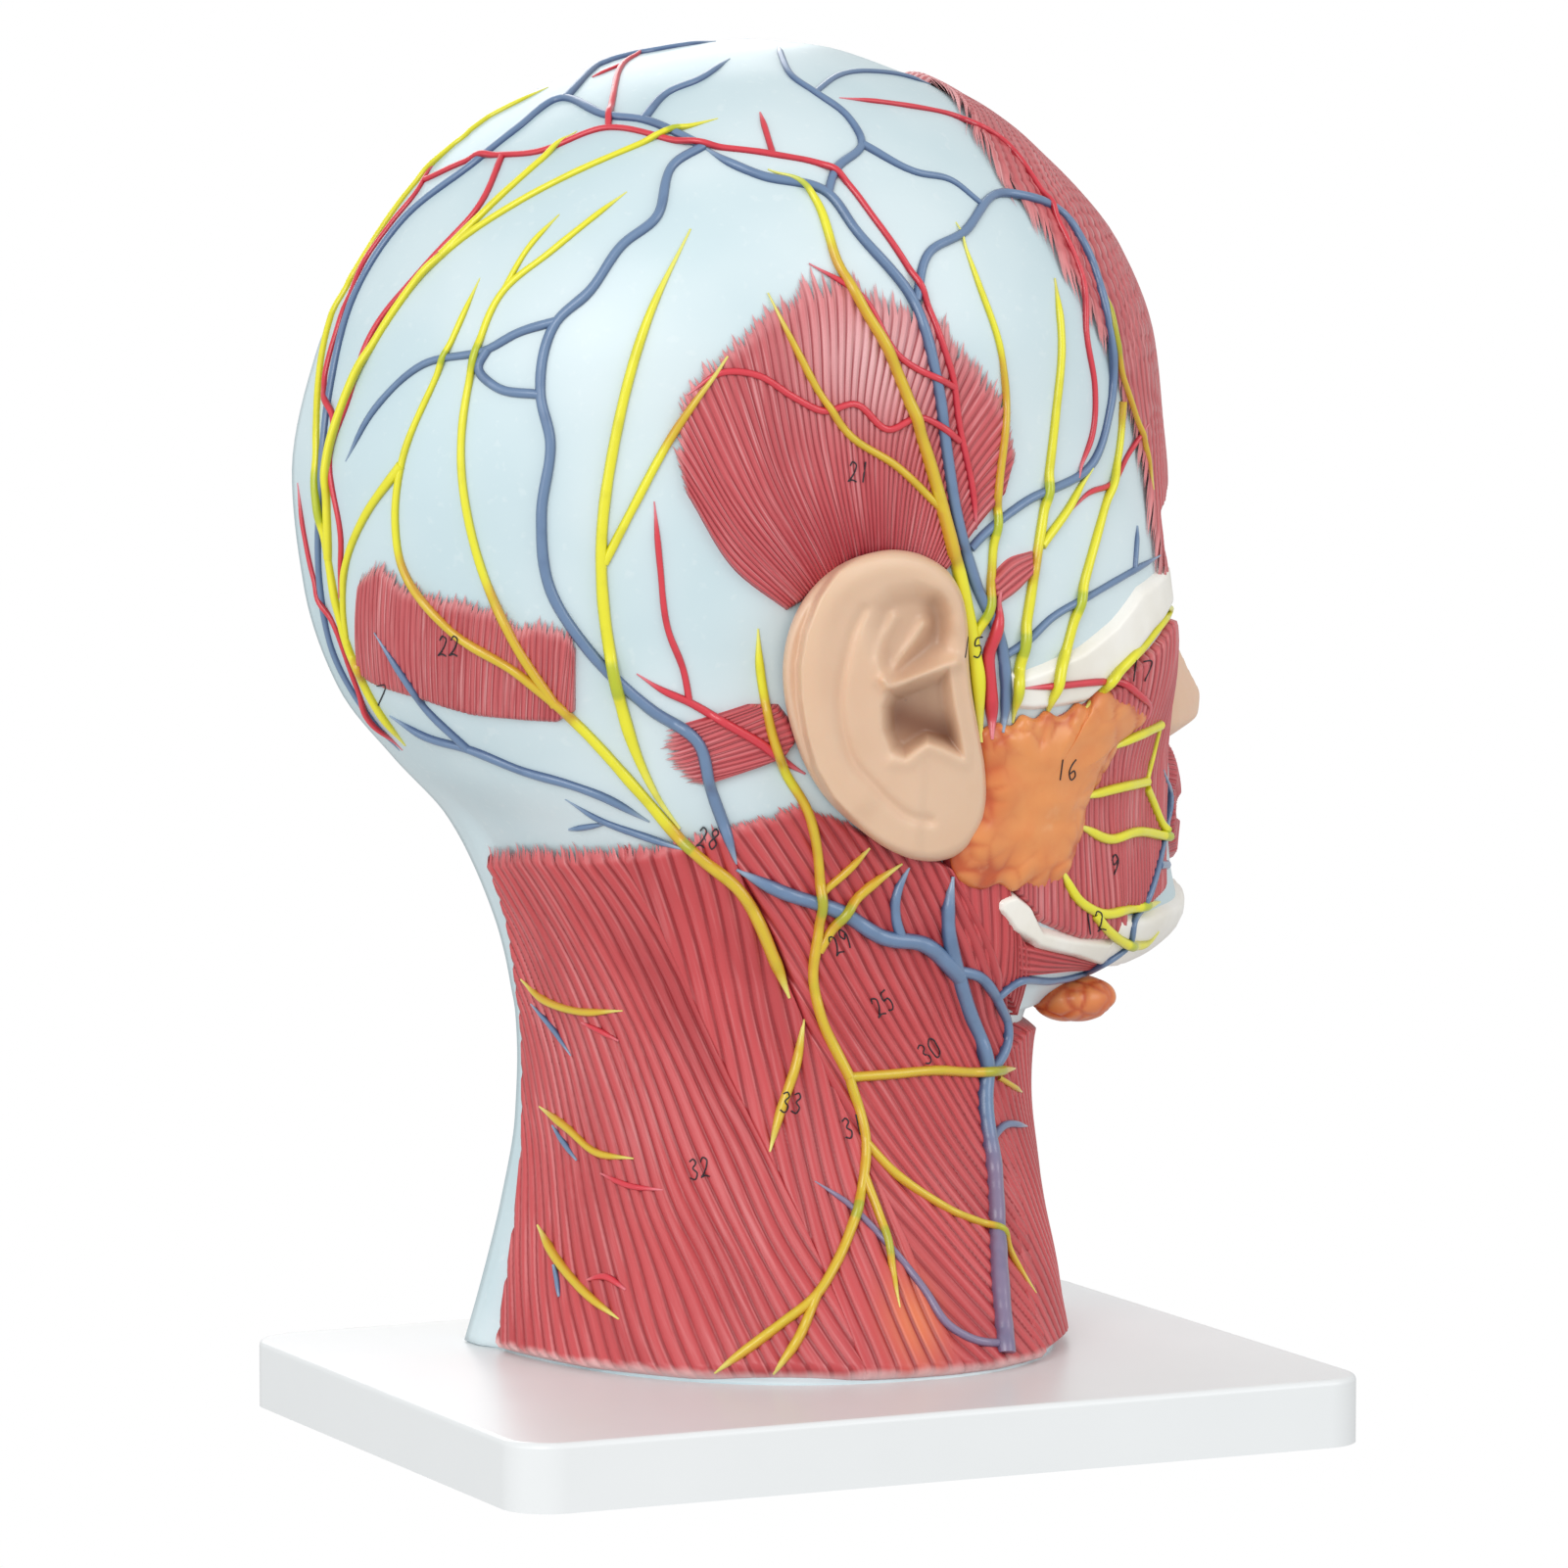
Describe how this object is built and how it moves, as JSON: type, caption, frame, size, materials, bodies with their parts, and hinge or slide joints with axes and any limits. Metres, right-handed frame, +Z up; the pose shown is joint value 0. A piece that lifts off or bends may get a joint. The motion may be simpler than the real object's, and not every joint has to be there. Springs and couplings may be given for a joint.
{
  "type": "anatomical half head model",
  "caption": "Life-size anatomical right half of a head and neck on a rectangular display base, with relief muscles, vessels and nerves and a brain half that lifts out.",
  "frame": {"origin": "on the table under the middle of the whole model", "axes": "+Z up, +X the way the face looks, +Y towards the median cut and the display side of the section"},
  "size_m": [0.2152, 0.148, 0.2905],
  "materials": {
    "base_white": "moulded, glossy",
    "foot_rubber": "matt",
    "screw_steel": "plain",
    "plug_cream": "bare",
    "shell_blue": "painted, satin gloss",
    "bone_cream": "painted",
    "muscle_red": "painted, satin",
    "skin_tan": "painted, satin",
    "gland_orange": "painted, satin",
    "vein_blue": "painted, satin",
    "artery_red": "painted, satin",
    "nerve_yellow": "painted, satin",
    "brain_pink": "painted",
    "mucosa_pink": "painted",
    "tooth_white": "painted",
    "gristle_pale": "painted",
    "eye_white": "glossy"
  },
  "bodies": {
    "head": {"base_tray": "base_white", "foot_1": "foot_rubber", "foot_2": "foot_rubber", "foot_3": "foot_rubber", "foot_4": "foot_rubber", "neck_screw_1": "screw_steel", "neck_screw_2": "screw_steel", "neck_plug": "plug_cream", "skull_shell": "shell_blue", "section_plate": "bone_cream", "spinal_cord": "nerve_yellow", "vertebral_bodies": "bone_cream", "spinous_processes": "bone_cream", "middle_concha": "mucosa_pink", "lower_concha": "mucosa_pink", "hard_palate": "bone_cream", "soft_palate": "mucosa_pink", "tongue": "muscle_red", "upper_tooth": "tooth_white", "lower_tooth": "tooth_white", "jaw_section": "bone_cream", "larynx": "gristle_pale", "temporalis": "muscle_red", "occipitalis": "muscle_red", "auricularis_posterior": "muscle_red", "auricularis_anterior": "muscle_red", "frontalis": "muscle_red", "orbicularis_oculi": "muscle_red", "zygomatic_bone": "bone_cream", "masseter": "muscle_red", "mandible": "bone_cream", "cheek_muscles": "muscle_red", "lip_muscle": "muscle_red", "trapezius": "muscle_red", "levator_scapulae": "muscle_red", "sternocleidomastoid": "muscle_red", "strap_muscles": "muscle_red", "digastric": "muscle_red", "ear": "skin_tan", "nose": "skin_tan", "eyeball": "eye_white", "parotid_gland": "gland_orange", "submandibular_gland": "gland_orange", "facial_nerve": "nerve_yellow", "superficial_temporal_vein": "vein_blue", "posterior_auricular_vein": "vein_blue", "external_jugular_vein": "vein_blue", "occipital_vein": "vein_blue", "superficial_temporal_artery": "artery_red", "posterior_auricular_artery": "artery_red", "frontal_artery": "artery_red", "greater_occipital_nerve": "nerve_yellow", "lesser_occipital_nerve": "nerve_yellow", "great_auricular_nerve": "nerve_yellow", "accessory_nerve": "nerve_yellow", "auriculotemporal_nerve": "nerve_yellow"},
    "brain": {"cerebrum": "brain_pink", "corpus_callosum": "bone_cream", "cerebellum": "brain_pink", "brainstem": "brain_pink"}
  },
  "joints": [
    {"name": "brain_lift", "type": "slide", "parent": "head", "child": "brain", "axis": [0, 1, 0], "range_m": [0, 0.1]}
  ]
}
